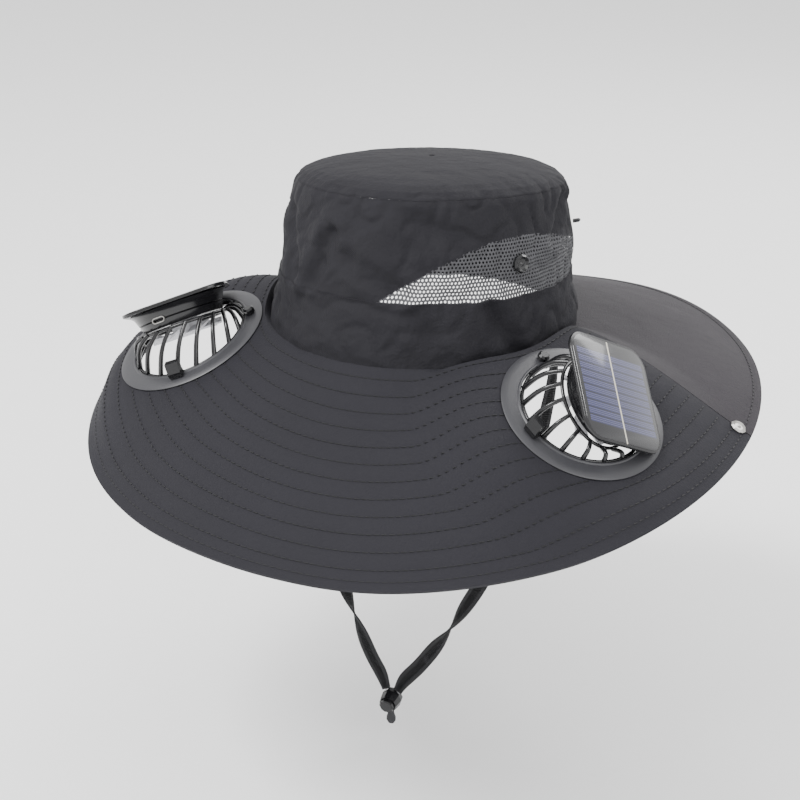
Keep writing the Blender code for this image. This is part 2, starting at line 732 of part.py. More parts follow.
def make_pod(side, pod, port_bearing):
    """The round pod with its spindle, the charging port in its wall and the solar panel on it."""
    profile = [
        (0.0, -SHAFT_LENGTH), (SHAFT_RADIUS, -SHAFT_LENGTH), (SHAFT_RADIUS, 0.0),
        (POD_FOOT_RADIUS - POD_EDGE, 0.0), (POD_FOOT_RADIUS, POD_EDGE),
        (POD_WAIST_RADIUS, POD_HEIGHT * 0.66), (POD_WAIST_RADIUS + POD_EDGE / 2, POD_HEIGHT * 0.84),
        (POD_TOP_RADIUS, POD_HEIGHT), (0.0, POD_HEIGHT),
    ]
    points, faces = turned(profile, AROUND_FAN)
    body = add_object("fan_pod_" + side, points, faces, "gloss_plastic", GLOSS_PLASTIC, pod)
    level = POD_HEIGHT * 0.42
    wall = POD_FOOT_RADIUS + (POD_WAIST_RADIUS - POD_FOOT_RADIUS) * 0.6
    outward = bearing(port_bearing)
    mouth = pod @ frame_at(outward * wall + Vector((0, 0, level)), outward, Vector((0, 0, 1)))
    outline = stadium(PORT_HEIGHT + 2 * GAP, PORT_WIDTH + 2 * GAP)
    points, faces = prism(outline, -PORT_DEPTH - GAP, PORT_DEPTH * 2)
    pocket = add_object("pocket", points, faces, "steel", STEEL, mouth)
    cut_or_join(body, [pocket], "DIFFERENCE")
    make_port("charge_port_" + side, mouth)
    seat = pod @ Matrix.Translation((0, 0, POD_HEIGHT + GAP))
    points, faces = prism(rounded_square(PANEL_SIZE, PANEL_CORNER), 0.0, PANEL_THICKNESS)
    tray = add_object("panel_tray_" + side, points, faces, "gloss_plastic", GLOSS_PLASTIC, seat)
    opening = PANEL_SIZE - 2 * PANEL_BORDER
    corner = PANEL_CORNER - PANEL_BORDER
    floor = PANEL_THICKNESS - CELL_THICKNESS
    points, faces = prism(rounded_square(opening, corner), floor - GAP, PANEL_THICKNESS * 2)
    recess = add_object("recess", points, faces, "silicon", SILICON, seat)
    cut_or_join(tray, [recess], "DIFFERENCE")
    outline = rounded_square(opening - 2 * GAP, corner - GAP)
    points, faces = prism(outline, floor, PANEL_THICKNESS)
    add_object("solar_cell_" + side, points, faces, "silicon", SILICON, seat)


def stadium(height, width, steps=5):
    """The outline of a bar with round ends: height along X, width along Y."""
    radius, half = height / 2, (width - height) / 2
    points = []
    for end in (1, -1):
        for k in range(steps + 1):
            turn = math.radians(180.0 * k / steps)
            points.append((end * radius * math.cos(turn), end * (half + radius * math.sin(turn))))
    return points


def make_port(name, frame):
    """The charging port's oval metal shell, open to the outside."""
    outside = stadium(PORT_HEIGHT, PORT_WIDTH)
    inside = stadium(PORT_HEIGHT - 2 * PORT_RIM, PORT_WIDTH - 2 * PORT_RIM)
    count = len(outside)
    floor = -PORT_DEPTH + PORT_RIM
    front = PORT_RIM
    layers = ((outside, -PORT_DEPTH), (outside, front), (inside, front), (inside, floor))
    points = [Vector((x, y, z)) for outline, z in layers for x, y in outline]
    faces = [tuple(range(count))[::-1], tuple(range(3 * count, 4 * count))]
    for layer in range(3):
        for k in range(count):
            a, b = layer * count + k, layer * count + (k + 1) % count
            faces.append((a, b, b + count, a + count))
    return add_object(name, points, faces, "steel", STEEL, frame)


def make_rotor(name, pod):
    """The fan wheel on the pod's spindle: a hub with a blind bore and pitched blades."""
    top = -GAP
    foot = top - ROTOR_DEPTH
    bore = SHAFT_RADIUS + RUN_GAP
    blind = -SHAFT_LENGTH - GAP
    profile = [
        (0.0, blind), (bore, blind), (bore, top), (HUB_RADIUS * 0.92, top),
        (HUB_RADIUS, top - HUB_EDGE), (HUB_RADIUS, foot + 2 * HUB_EDGE), (HUB_RADIUS * 0.80, foot),
        (0.0, foot),
    ]
    points, faces = turned(profile, AROUND_SMALL)
    hub = add_object(name, points, faces, "rotor_plastic", ROTOR_PLASTIC, pod)
    points, faces = [], []
    blade_top = top - CAGE_BAR - 2 * RUN_GAP
    middle = (blade_top + foot) / 2
    root = HUB_RADIUS * 0.80
    for k in range(BLADE_COUNT):
        spin = 360.0 * k / BLADE_COUNT
        sections = []
        for share in (0.0, 0.5, 1.0):
            radius = root + (ROTOR_RADIUS - root) * share
            chord = 2 * math.pi * radius / BLADE_COUNT * 0.85
            pitch = math.radians(BLADE_PITCH - BLADE_UNTWIST * share)
            lead = math.radians(spin + BLADE_SWEEP * share * share)
            out = Vector((math.cos(lead), math.sin(lead), 0))
            side = Vector((-math.sin(lead), math.cos(lead), 0))
            along = side * math.cos(pitch) + Vector((0, 0, 1)) * math.sin(pitch)
            thick = out.cross(along).normalized() * (BLADE_THICKNESS / 2)
            tall = (blade_top - foot) / 2 - BLADE_THICKNESS
            along = along * min(chord / 2, tall / math.sin(pitch))
            centre = out * radius + Vector((0, 0, middle))
            sections.append([centre - along - thick, centre + along - thick,
                             centre + along + thick, centre - along + thick])
        blade_points, blade_faces = swept(sections)
        faces += [tuple(i + len(points) for i in face) for face in blade_faces]
        points += blade_points
    blades = add_object("blades", points, faces, "rotor_plastic", ROTOR_PLASTIC, pod)
    return cut_or_join(hub, [blades], "UNION")


def make_clip(name, frame, degrees):
    """The snap clip that stands on the flange and reaches over the cage's ring."""
    outward = bearing(degrees)
    low = 2 * GAP + FLANGE_THICKNESS
    high = low + CLIP_HEIGHT
    over = GAP + FLANGE_THICKNESS / 2 + CAGE_BAR / 2 + GAP + RIB_WIDTH
    reach = CLIP_DEPTH * 0.25
    outline = [
        (0.0, low), (CLIP_DEPTH, low), (CLIP_DEPTH, low + CLIP_HEIGHT * 0.35),
        (CLIP_DEPTH * 0.45, high), (-reach, high), (-reach, over + CLIP_HEIGHT * 0.45),
        (0.0, over + CLIP_HEIGHT * 0.15),
    ]
    back = FLANGE_BORE + GAP
    count = len(outline)
    across = Vector((-outward.y, outward.x, 0)) * (CLIP_WIDTH / 2)
    points = []
    for side in (-1, 1):
        points += [outward * (back + x) + across * side + Vector((0, 0, z)) for x, z in outline]
    faces = [tuple(range(count)), tuple(range(count, 2 * count))[::-1]]
    faces += [(k, (k + 1) % count, count + (k + 1) % count, count + k) for k in range(count)]
    return add_object(name, points, faces, "gloss_plastic", GLOSS_PLASTIC, frame)


def make_boss(name, frame, degrees):
    """The round pivot boss on the flange."""
    middle = bearing(degrees) * (FLANGE_BORE + GAP + BOSS_RADIUS)
    foot = 2 * GAP + FLANGE_THICKNESS
    profile = [(0.0, foot), (BOSS_RADIUS, foot), (BOSS_RADIUS, foot + BOSS_HEIGHT * 0.7),
               (BOSS_RADIUS * 0.7, foot + BOSS_HEIGHT), (0.0, foot + BOSS_HEIGHT)]
    points, faces = turned(profile, AROUND_SMALL)
    points = [p + middle for p in points]
    return add_object(name, points, faces, "gloss_plastic", GLOSS_PLASTIC, frame)


def make_fan_unit(row):
    """One solar fan: flange, collar, cage, pod, panel, rotor, clip and boss."""
    side, azimuth = row[:2]
    clip_bearing, boss_bearing, port_bearing = row[6:9]
    frame, pod = fan_frame(row), pod_frame(row)
    back = 1.0 if azimuth > 0 else -1.0
    flat_ring("fan_flange_" + side, frame, FLANGE_BORE, FLANGE_RADIUS, GAP,
              GAP + FLANGE_THICKNESS, FLANGE_LIP, "matt_plastic", MATT_PLASTIC)
    low = -BRIM_WALL - GAP - COLLAR_THICKNESS
    flat_ring("fan_collar_" + side, frame, BRIM_HOLE_RADIUS, COLLAR_RADIUS, low,
              low + COLLAR_THICKNESS, 0.0, "matt_plastic", MATT_PLASTIC)
    make_cage("fan_cage_" + side, frame, pod)
    make_pod(side, pod, port_bearing * back)
    make_rotor("fan_rotor_" + side, pod)
    make_clip("cage_clip_" + side, frame, clip_bearing * back)
    make_boss("pivot_boss_" + side, frame, boss_bearing * back)


def make_snaps():
    """The snap fasteners on the crown's windows and at the ends of the flap's seams."""
    share = 1.0 - BRIM_SNAP_INSET / (BRIM_RADIUS - CROWN_HALF_WIDTH)
    spots = []
    for side, sign in (("right", 1), ("left", -1)):
        azimuth = CROWN_FRONT + sign * CROWN_SNAP_TURN
        spots.append(("crown_snap_" + side, crown_frame(azimuth, CROWN_SNAP_LEVEL),
                      CROWN_SNAP_RADIUS, CROWN_SNAP_HEIGHT, "gloss_plastic", GLOSS_PLASTIC, CROWN_SNAP_STAND))
        spots.append(("brim_snap_" + side, brim_frame(sign * (180.0 - FLAP_HALF_ANGLE), share),
                      BRIM_SNAP_RADIUS, BRIM_SNAP_HEIGHT, "steel", STEEL, BRIM_SNAP_STAND))
    for name, frame, radius, height, look_name, look, off in spots:
        profile = [
            (0.0, off), (radius, off), (radius, off + height * 0.45),
            (radius * 0.80, off + height), (radius * 0.55, off + height * 0.55),
            (radius * 0.30, off + height * 0.60), (0.0, off + height * 0.90),
        ]
        points, faces = turned(profile, AROUND_SMALL)
        add_object(name, points, faces, look_name, look, frame)


def make_tab():
    """The little loop of tape that stands out of the crown's side seam."""
    frame = crown_frame(TAB_AZIMUTH, TAB_LEVEL)
    half = TAB_WIDTH / 2
    low = GAP * 2
    outline = [(-TAB_THICKNESS / 2, low), (TAB_THICKNESS / 2, low),
               (TAB_THICKNESS / 2, TAB_LENGTH * 0.8), (0.0, TAB_LENGTH),
               (-TAB_THICKNESS / 2, TAB_LENGTH * 0.8)]
    points = [Vector((x, y, z)) for y in (-half, half) for x, z in outline]
    count = len(outline)
    faces = [tuple(range(count)), tuple(range(count, 2 * count))[::-1]]
    faces += [(k, (k + 1) % count, count + (k + 1) % count, count + k) for k in range(count)]
    add_object("side_tab", points, faces, "webbing", WEBBING, frame)


def smooth_route(points, steps):
    """Points along a smooth curve through a list of points, evenly by share of the list."""
    spots = [Vector(p) for p in points]
    last = len(spots) - 1
    route = []
    for k in range(steps + 1):
        place = last * k / steps
        row = min(int(place), last - 1)
        t = place - row
        a, b = spots[max(row - 1, 0)], spots[row]
        c, d = spots[row + 1], spots[min(row + 2, last)]
        route.append(0.5 * ((2 * b) + (c - a) * t + (2 * a - 5 * b + 4 * c - d) * t * t
                            + (3 * b - a - 3 * c + d) * t ** 3))
    return route


def ramp(at, first, last):
    """A smooth rise from 0 at the first place to 1 at the last."""
    share = min(1.0, max(0.0, (at - first) / (last - first)))
    return share * share * (3 - 2 * share)


def make_strand(side, sign):
    """A flat strand of the chin strap: it turns to face the front, then twists over once."""
    route = [Vector((sign * p.x, p.y, p.z)) for p in smooth_route(STRAP_ROUTE, STRAP_STEPS)]
    sections = []
    for k, here in enumerate(route):
        ahead, behind = route[min(k + 1, STRAP_STEPS)], route[max(k - 1, 0)]
        along = (ahead - behind).normalized()
        share = k / STRAP_STEPS
        turn = 90.0 * ramp(share, *STRAP_TURN) + 180.0 * ramp(share, *STRAP_TWIST[side])
        flat = Vector((0, -1, 0))
        wide = (flat - along * flat.dot(along)).normalized()
        across = along.cross(wide) * sign
        angle = math.radians(turn)
        spread = math.cos(angle) * wide + math.sin(angle) * across
        thick = along.cross(spread).normalized() * (STRAP_THICKNESS / 2)
        half = STRAP_WIDTH / 2 * (1.0 - 0.35 * ramp(share, *STRAP_NECK))
        sections.append([here - spread * half - thick, here + spread * half - thick,
                         here + spread * half + thick, here - spread * half + thick])
    points, faces = swept(sections)
    if sign > 0:
        faces = [face[1:] + face[:1] for face in faces]
    halves = [(face[0], face[k], face[k + 1]) for face in faces for k in (1, 2)]
    add_object("strap_" + side, points, halves, "webbing", WEBBING, smooth_angle=60.0)


def make_lock():
    """The round cord lock, its push button and the knotted ends below it."""
    centre = Vector(LOCK_CENTRE)
    frame = frame_at(centre, Vector((0, -1, -LOCK_LEAN)), Vector((1, 0, 0)))
    half = LOCK_DEPTH / 2
    profile = [
        (0.0, -half), (LOCK_RADIUS * 0.62, -half), (LOCK_RADIUS * 0.92, -half * 0.62),
        (LOCK_RADIUS, 0.0), (LOCK_RADIUS * 0.92, half * 0.62),
        (BUTTON_RADIUS + GAP + LOCK_LIP, half), (BUTTON_RADIUS + GAP, half),
        (BUTTON_RADIUS + GAP, 0.0), (0.0, 0.0),
    ]
    points, faces = turned(profile, AROUND_SMALL)
    add_object("cord_lock", points, faces, "gloss_plastic", GLOSS_PLASTIC, frame)
    top = BUTTON_PROUD + half
    profile = [
        (0.0, BUTTON_PROUD + GAP), (BUTTON_RADIUS, BUTTON_PROUD + GAP),
        (BUTTON_RADIUS, top - BUTTON_EDGE), (BUTTON_RADIUS - BUTTON_EDGE, top), (0.0, top),
    ]
    points, faces = turned(profile, AROUND_SMALL)
    add_object("lock_button", points, faces, "gloss_plastic", GLOSS_PLASTIC, frame)
    start = -LOCK_RADIUS * 0.98 - GAP
    neck = KNOT_RADIUS * 0.62
    profile = [
        (0.0, start), (neck, start), (neck, start - KNOT_LENGTH * 0.28),
        (KNOT_RADIUS, start - KNOT_LENGTH * 0.60), (KNOT_RADIUS, start - KNOT_LENGTH * 0.78),
        (KNOT_RADIUS * 0.6, start - KNOT_LENGTH), (0.0, start - KNOT_LENGTH),
    ]
    points, faces = turned(profile, AROUND_SMALL)
    points = [Vector((p.x, p.y * KNOT_FLATNESS, p.z)) + centre for p in points]
    add_object("strap_knot", points, faces, "webbing", WEBBING)


def main():
    for old in list(bpy.data.objects):
        bpy.data.objects.remove(old)
    make_crown()
    make_brim()
    for row in FAN_UNITS:
        make_fan_unit(row)
    make_snaps()
    make_tab()
    make_strand("right", 1.0)
    make_strand("left", -1.0)
    make_lock()


main()
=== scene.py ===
# %% [markdown]
# # A solar fan hat
# A wide-brimmed sun hat in charcoal cloth, with a solar fan let into either side of its brim.
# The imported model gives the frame: where each part sits and what turns. This script dresses
# it, one piece at a time, and never moves what the frame holds.

# %% Load the frame
import json
import math

import bmesh
import bpy
from mathutils import Matrix, Vector, noise


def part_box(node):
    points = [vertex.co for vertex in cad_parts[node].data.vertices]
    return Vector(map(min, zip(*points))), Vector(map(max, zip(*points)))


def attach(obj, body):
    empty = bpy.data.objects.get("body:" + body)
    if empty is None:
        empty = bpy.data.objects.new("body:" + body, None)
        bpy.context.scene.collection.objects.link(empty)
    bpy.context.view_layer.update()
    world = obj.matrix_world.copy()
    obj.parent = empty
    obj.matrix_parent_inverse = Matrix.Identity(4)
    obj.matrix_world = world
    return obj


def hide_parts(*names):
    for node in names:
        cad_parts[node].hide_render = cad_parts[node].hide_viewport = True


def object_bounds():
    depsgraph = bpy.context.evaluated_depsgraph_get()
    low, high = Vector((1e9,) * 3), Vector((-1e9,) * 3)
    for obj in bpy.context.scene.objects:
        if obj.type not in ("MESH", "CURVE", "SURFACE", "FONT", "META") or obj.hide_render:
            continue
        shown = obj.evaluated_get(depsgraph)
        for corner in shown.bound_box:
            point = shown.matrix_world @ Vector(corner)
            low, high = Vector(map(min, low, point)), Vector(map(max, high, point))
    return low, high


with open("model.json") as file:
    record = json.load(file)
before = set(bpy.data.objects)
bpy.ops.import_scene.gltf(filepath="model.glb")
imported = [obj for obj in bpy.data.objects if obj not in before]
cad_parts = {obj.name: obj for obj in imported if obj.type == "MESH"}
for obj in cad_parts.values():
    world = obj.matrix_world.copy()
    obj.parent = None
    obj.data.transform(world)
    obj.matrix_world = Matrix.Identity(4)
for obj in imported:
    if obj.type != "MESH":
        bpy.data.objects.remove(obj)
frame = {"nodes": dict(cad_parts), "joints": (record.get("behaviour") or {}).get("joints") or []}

cad_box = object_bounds()
print("CAD box", [round(v, 4) for corner in cad_box for v in corner])

# %% [markdown]
# ## The camera
# The photograph looks down on the hat from its left front. The camera stands 1.1 m away,
# aims a little below the head opening, and leans by about a degree.

# %% Camera
CAMERA_DISTANCE = 1.10
CAMERA_AZIMUTH = math.radians(24.0)
CAMERA_ELEVATION = math.radians(18.5)
CAMERA_ROLL = math.radians(-1.12)
AIM_RIGHT, AIM_UP = -0.0138, -0.0532
LENS_MM = 79.65

right = Vector((math.cos(CAMERA_AZIMUTH), math.sin(CAMERA_AZIMUTH), 0.0))
ahead = Vector((-math.sin(CAMERA_AZIMUTH), math.cos(CAMERA_AZIMUTH), 0.0))
up = ahead * math.sin(CAMERA_ELEVATION) + Vector((0, 0, math.cos(CAMERA_ELEVATION)))
eye = (Vector((0, 0, math.sin(CAMERA_ELEVATION))) - ahead * math.cos(CAMERA_ELEVATION)) * CAMERA_DISTANCE
back = (eye - right * AIM_RIGHT - up * AIM_UP).normalized()
side = right * math.cos(CAMERA_ROLL) - up * math.sin(CAMERA_ROLL)
side = (side - back * side.dot(back)).normalized()
bpy.ops.object.camera_add()
camera = bpy.context.object
camera.data.lens = LENS_MM
camera.data.sensor_width = 36.0
top = back.cross(side)
camera.matrix_world = Matrix((
    (side.x, top.x, back.x, eye.x), (side.y, top.y, back.y, eye.y),
    (side.z, top.z, back.z, eye.z), (0, 0, 0, 1),
))
bpy.context.scene.camera = camera
print("camera at", [round(v, 3) for v in eye])

# %% [markdown]
# ## Floor and light
# The hat is held up by its head opening, so the floor lies below the knot of the strap.
# Large soft lights and a pale sky keep dark cloth readable.

# %% Floor and lights
FLOOR_DROP = 0.012
bpy.ops.mesh.primitive_plane_add(size=8.0, location=(0, 0, cad_box[0][2] - FLOOR_DROP))
floor = bpy.context.object
floor.name = "floor"


def area_light(name, place, size, power):
    """A square soft light that points at the hat."""
    bpy.ops.object.light_add(type="AREA", location=place)
    lamp = bpy.context.object
    lamp.name = name
    lamp.data.size = size
    lamp.data.energy = power
    lamp.rotation_euler = (-Vector(place)).to_track_quat("-Z", "Y").to_euler()
    return lamp


area_light("key", (-0.9, -1.0, 1.7), 0.9, 60.0)
area_light("fill", (1.6, -0.9, 0.9), 1.4, 20.0)
area_light("rim", (0.5, 1.6, 1.4), 1.4, 30.0)
world = bpy.context.scene.world or bpy.data.worlds.new("world")
bpy.context.scene.world = world
world.use_nodes = True
world.node_tree.nodes["Background"].inputs[0].default_value = (1.0, 1.0, 1.0, 1.0)
world.node_tree.nodes["Background"].inputs[1].default_value = 1.4
print("floor at", round(floor.location.z, 4))

# %% [markdown]
# ## Shader maths
# Patterns such as a weave or a row of solar cells are sums on coordinates. A small class
# wraps a socket, so that the sums read as ordinary expressions.


# %% Shader helper
class Value:
    """A number that varies over a surface: a socket in a material's node tree."""

    def __init__(self, look, socket):
        self.look, self.socket = look, socket

    def sum(self, operation, *others):
        return self.look.maths(operation, self, *others)

    def __add__(self, other):
        return self.sum("ADD", other)

    def __sub__(self, other):
        return self.sum("SUBTRACT", other)

    def __rsub__(self, other):
        return self.look.maths("SUBTRACT", other, self)

    def __mul__(self, other):
        return self.sum("MULTIPLY", other)

    __radd__ = __add__
    __rmul__ = __mul__


class Look:
    """One procedural material. node() makes any node, and maths() a Math node."""

    def __init__(self, name, colour, roughness, metallic=0.0):
        self.material = bpy.data.materials.new(name)
        self.material.use_nodes = True
        self.tree = self.material.node_tree
        self.shader = self.tree.nodes["Principled BSDF"]
        self.shader.inputs["Metallic"].default_value = metallic
        self.colour, self.roughness = colour, roughness
        self.places = self.tree.nodes.new("ShaderNodeTexCoord")

    def node(self, kind, settings=None, **values):
        made = self.tree.nodes.new("ShaderNode" + kind)
        for key, value in (settings or {}).items():
            setattr(made, key, value)
        for key, value in values.items():
            socket = made.inputs[int(key[1:])] if key[1:].isdigit() else made.inputs[key]
            self.feed(socket, value)
        return made

    def feed(self, socket, value):
        if isinstance(value, Value):
            value = value.socket
        if isinstance(value, bpy.types.NodeSocket):
            self.tree.links.new(value, socket)
        else:
            socket.default_value = value

    def maths(self, operation, *values):
        inputs = {f"i{k}": value for k, value in enumerate(values)}
        return Value(self, self.node("Math", {"operation": operation}, **inputs).outputs[0])

    def split(self, source="UV"):
        parts = self.node("SeparateXYZ", Vector=self.places.outputs[source])
        return [Value(self, out) for out in parts.outputs]

    def noise(self, scale, detail=3.0, source="Object"):
        made = self.node("TexNoise", Vector=self.places.outputs[source], Scale=scale, Detail=detail)
        return Value(self, made.outputs["Fac"])

    def finish(self, tint, gloss, height=None, depth=0.0002, contrast=0.28):
        """Colour and roughness vary with tint and gloss, both about 0.5, and height gives bump."""
        mixed = self.node("Mix", {"data_type": "RGBA"}, i0=tint)
        low = [c * (1.0 - contrast) for c in self.colour] + [1.0]
        high = [min(1.0, c * (1.0 + contrast)) for c in self.colour] + [1.0]
        mixed.inputs[6].default_value, mixed.inputs[7].default_value = low, high
        self.tree.links.new(mixed.outputs[2], self.shader.inputs["Base Color"])
        self.feed(self.shader.inputs["Roughness"], gloss * 0.2 + (self.roughness - 0.1))
        if height is not None:
            bump = self.node("Bump", Height=height, Distance=depth)
            self.tree.links.new(bump.outputs["Normal"], self.shader.inputs["Normal"])
        return self.material


# %% [markdown]
# ## Materials
# The cloth is a fine twill with a crumpled hand. The plastics are moulded, one matt and
# one polished. The panel's cells lie in rows under a clear face.


# %% Cloth, net and webbing
def cloth(name, colour, roughness, crumple=1.0):
    """Twill: fine slanted ribs, with slow changes of shade and crumpled folds."""
    look = Look(name, colour, roughness)
    look.shader.inputs["Specular IOR Level"].default_value = 0.16
    x, y, z = look.split("Object")
    ribs = look.maths("SINE", (x + y + z) * 5200.0)
    patches = look.noise(16.0, 5.0)
    folds = look.noise(38.0, 4.0)
    fine = look.noise(900.0, 2.0)
    return look.finish(patches * 0.7 + fine * 0.3, patches,
                       folds * (5.0 * crumple) + ribs * 0.05 + fine * 0.35, 0.0012)


def net(name):
    """Knitted net: staggered round holes, cut out by the material's alpha."""
    look = Look(name, (0.050, 0.050, 0.055), 0.75)
    u, v, unused = look.split("UV")
    pitch, tall = 0.0024, 0.0020
    row = v * (1.0 / tall)
    lane = look.maths("FLOOR", row)
    across = look.maths("FRACT", u * (1.0 / pitch) + lane * 0.5) - 0.5
    down = look.maths("FRACT", row) - 0.5
    away = look.maths("SQRT", across * across * (pitch / tall) + down * down)
    look.feed(look.shader.inputs["Alpha"], look.maths("GREATER_THAN", away, 0.33))
    return look.finish(look.noise(300.0), look.noise(60.0), away, 0.0003)


def webbing(name):
    """Woven tape: ribs across its width and a slow change of shade along it."""
    look = Look(name, (0.022, 0.022, 0.025), 0.70)
    u, v, unused = look.split("UV")
    ribs = look.maths("SINE", u * 5000.0) + look.maths("SINE", v * 9000.0)
    return look.finish(look.noise(80.0), look.noise(30.0), ribs, 0.0003)


def moulded(name, colour, roughness, grain, metallic=0.0, contrast=0.15):
    """Moulded or polished stock: a fine grain and slight handling marks."""
    look = Look(name, colour, roughness, metallic)
    marks = look.noise(35.0, 6.0)
    return look.finish(marks, marks * 0.6 + look.noise(400.0) * 0.4, look.noise(1600.0), grain, contrast)


CLOTH = cloth("cloth", (0.015, 0.0145, 0.0175), 0.78)
BRIM_CLOTH = cloth("brim_cloth", (0.0165, 0.016, 0.020), 0.70, 0.25)
# The flap's cloth is the brim's cloth painted lighter: painted light for the light that falls on the hat's
# right rear.
FLAP_CLOTH_PAINTED_LIGHTER = cloth("flap_cloth", (0.026, 0.023, 0.027), 0.62, 0.25)
NET = net("net")
WEBBING = webbing("webbing")
THREAD = moulded("thread", (0.004, 0.004, 0.005), 0.70, 0.00004)
MATT = moulded("matt_plastic", (0.030, 0.030, 0.034), 0.42, 0.00006)
GLOSS = moulded("gloss_plastic", (0.008, 0.008, 0.009), 0.20, 0.00001)
ROTOR = moulded("rotor_plastic", (0.60, 0.60, 0.63), 0.45, 0.00002)
STEEL = moulded("steel", (0.42, 0.41, 0.39), 0.32, 0.00001, 1.0)
PAPER = moulded("paper", (0.92, 0.92, 0.92), 0.90, 0.0, contrast=0.01)
floor.data.materials.append(PAPER)
print("materials", len(bpy.data.materials))

# %% [markdown]
# ## Solar cells
# Ten strips of blue silicon lie side by side. Fine light fingers run along each, dark gaps
# part them, and one pale busbar crosses them all. The two ends of the face stay black.


# %% Solar cell face
def solar(name):
    look = Look(name, (0.010, 0.012, 0.060), 0.22)
    u, v, unused = look.split("UV")
    strips = u * (10.0 / 0.046)
    place = look.maths("FRACT", strips + 5.0)
    gap = look.maths("GREATER_THAN", look.maths("ABSOLUTE", place - 0.5), 0.43)
    finger = look.maths("GREATER_THAN", look.maths("FRACT", place * 4.0), 0.72)
    end = look.maths("GREATER_THAN", look.maths("ABSOLUTE", u), 0.023)
    edge = look.maths("GREATER_THAN", look.maths("ABSOLUTE", v), 0.0285)
    bar = look.maths("LESS_THAN", look.maths("ABSOLUTE", v), 0.0006)
    dark = look.maths("MAXIMUM", gap, look.maths("MAXIMUM", end, edge))
    layers = (
        (look.noise(40.0), (0.010, 0.012, 0.052, 1), (0.018, 0.022, 0.090, 1)),
        (finger * (1.0 - dark), None, (0.085, 0.085, 0.15, 1)),
        (dark, None, (0.004, 0.004, 0.006, 1)),
        (bar, None, (0.50, 0.47, 0.40, 1)),
    )
    colour = None
    for mask, low, high in layers:
        mix = look.node("Mix", {"data_type": "RGBA"}, i0=mask)
        mix.inputs[7].default_value = high
        look.feed(mix.inputs[6], low if colour is None else colour)
        colour = mix.outputs[2]
    look.feed(look.shader.inputs["Base Color"], colour)
    look.feed(look.shader.inputs["Roughness"], look.noise(60.0) * 0.1 + 0.16)
    look.shader.inputs["Coat Weight"].default_value = 0.6
    look.shader.inputs["Coat Roughness"].default_value = 0.08
    return look.material


SOLAR = solar("solar_cells")
print("solar face ready")

# %% [markdown]
# ## The form of the hat
# The cloth follows the same named sizes as the frame. An azimuth runs from the front
# towards +X, in degrees, and a share runs from the crown (0) to the brim's edge (1).

# %% Sizes and tables
GAP = 0.0003
CROWN_HALF_WIDTH, CROWN_HALF_LENGTH, CROWN_HEIGHT = 0.0932, 0.0980, 0.1010
CROWN_FRONT = -23.0
CROWN_LEAN, CROWN_LEAN_TO = 0.0030, 114.0
CROWN_TILT, CROWN_TILT_TO = 0.0090, 24.0
BAND_SHARE, SEAM_SHARE = 0.0330 / CROWN_HEIGHT, 0.870
BRIM_RADIUS, BRIM_DROP = 0.2093, 0.0854
FLAP_START = 91.5
FLANGE_RADIUS, FLAT_MARGIN, FLAT_BLEND = 0.0485, 0.0010, 0.0480
CROWN_PROFILE = (
    # height share, radius share
    (-0.030, 1.000), (0.080, 0.999), (0.190, 0.975), (0.280, 0.962), (0.370, 0.950),
    (0.460, 0.940), (0.560, 0.925), (0.660, 0.905), (0.760, 0.885), (0.840, 0.872),
    (0.880, 0.850), (0.910, 0.815), (0.935, 0.755), (0.958, 0.660), (0.978, 0.500), (0.993, 0.280),
    (1.000, 0.000),
)
WINDOW_EDGE = (
    # degrees from the crown's front, share of the way from the band to the top seam
    (28.5, 0.000), (39.0, 0.190), (50.0, 0.365), (61.0, 0.500), (69.0, 0.570), (77.0, 0.605),
    (88.0, 0.615), (98.0, 0.590), (115.0, 0.500), (133.0, 0.400), (150.0, 0.300),
    (157.0, 0.250), (160.0, 0.000),
)
BRIM_EDGE = (
    # drop share, hold share, every 30 degrees from the back round through the front
    (0.350, 0.10), (0.450, 0.11), (0.490, 0.13), (0.640, 0.16), (0.855, 0.20), (0.960, 0.06),
    (1.000, -0.02), (0.970, 0.02), (0.790, 0.14), (0.545, 0.13), (0.345, 0.12), (0.270, 0.10),
)
FOLDS = (
    # azimuth and height share of either end, depth in metres, width in degrees
    (-15.0, 0.66, -22.0, 0.38, 0.0034, 3.4),
    (-8.0, 0.56, 14.0, 0.40, 0.0020, 4.0),
    (60.0, 0.02, 48.0, 0.30, 0.0034, 3.0),
    (33.0, 0.03, 20.0, 0.27, 0.0018, 3.0),
    (-48.0, 0.70, -34.0, 0.40, 0.0026, 4.0),
    (10.0, 0.84, 34.0, 0.66, 0.0016, 4.0),
    (96.0, 0.80, 84.0, 0.60, 0.0026, 3.4),
    (140.0, 0.75, 128.0, 0.50, 0.0026, 4.0),
    (-140.0, 0.70, -152.0, 0.40, 0.0028, 4.0),
    (-100.0, 0.80, -88.0, 0.62, 0.0024, 3.4),
    (180.0, 0.05, 170.0, 0.30, 0.0024, 4.0),
)


# %% The crown's and the brim's surfaces
def between(table, at):
    for low, high in zip(table, table[1:]):
        if at <= high[0]:
            share = max(0.0, (at - low[0]) / (high[0] - low[0]))
            return low[1] + (high[1] - low[1]) * share
    return table[-1][1]


def turn_between(azimuth, centre):
    return (azimuth - centre + 180.0) % 360.0 - 180.0


def radial(azimuth):
    turn = math.radians(azimuth)
    return Vector((math.sin(turn), -math.cos(turn), 0.0))


def foot_radius(azimuth):
    out = radial(azimuth)
    return 1.0 / math.hypot(out.x / CROWN_HALF_WIDTH, out.y / CROWN_HALF_LENGTH)


